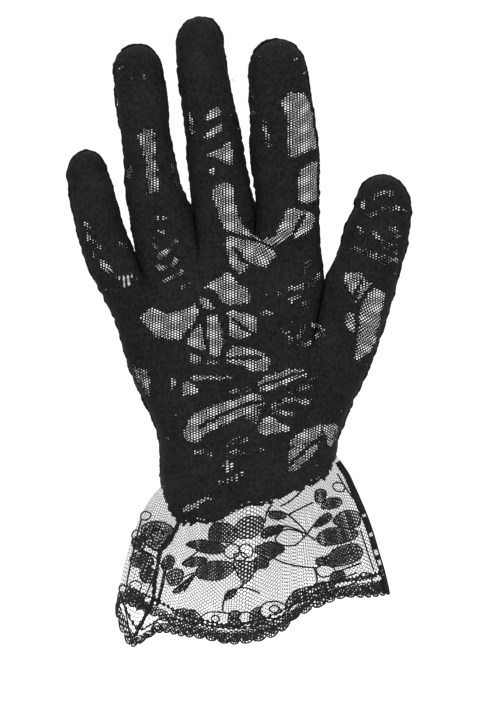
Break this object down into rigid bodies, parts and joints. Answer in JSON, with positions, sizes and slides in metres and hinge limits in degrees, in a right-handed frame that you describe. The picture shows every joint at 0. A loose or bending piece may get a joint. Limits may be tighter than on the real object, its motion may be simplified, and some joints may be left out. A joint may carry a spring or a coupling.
{
  "type": "lace glove",
  "caption": "Black stretch lace glove for the left hand in its worn form, with a flower and leaf pattern, a gathered wrist hem and a flared net ruffle with a scalloped edge.",
  "frame": {"origin": "middle of the wrist, where the glove is held up", "axes": "+Z towards the fingertips, -Y out of the back of the hand, +X towards the thumb"},
  "size_m": [0.1343, 0.0651, 0.2428],
  "materials": {
    "lace_back": "floral stretch lace, near black",
    "lace_palm": "floral stretch lace, near black",
    "seam_cord": "corded seam, near black",
    "hem_cloth": "gathered doubled lace, near black",
    "ruffle_net": "sheer floral net lace, charcoal",
    "ruffle_cord": "corded seam, near black"
  },
  "bodies": {
    "root": {"back_panel": "lace_back", "palm_panel": "lace_palm", "side_seam": "seam_cord", "wrist_hem": "hem_cloth", "wrist_ruffle": "ruffle_net", "ruffle_seam": "ruffle_cord"}
  },
  "joints": []
}
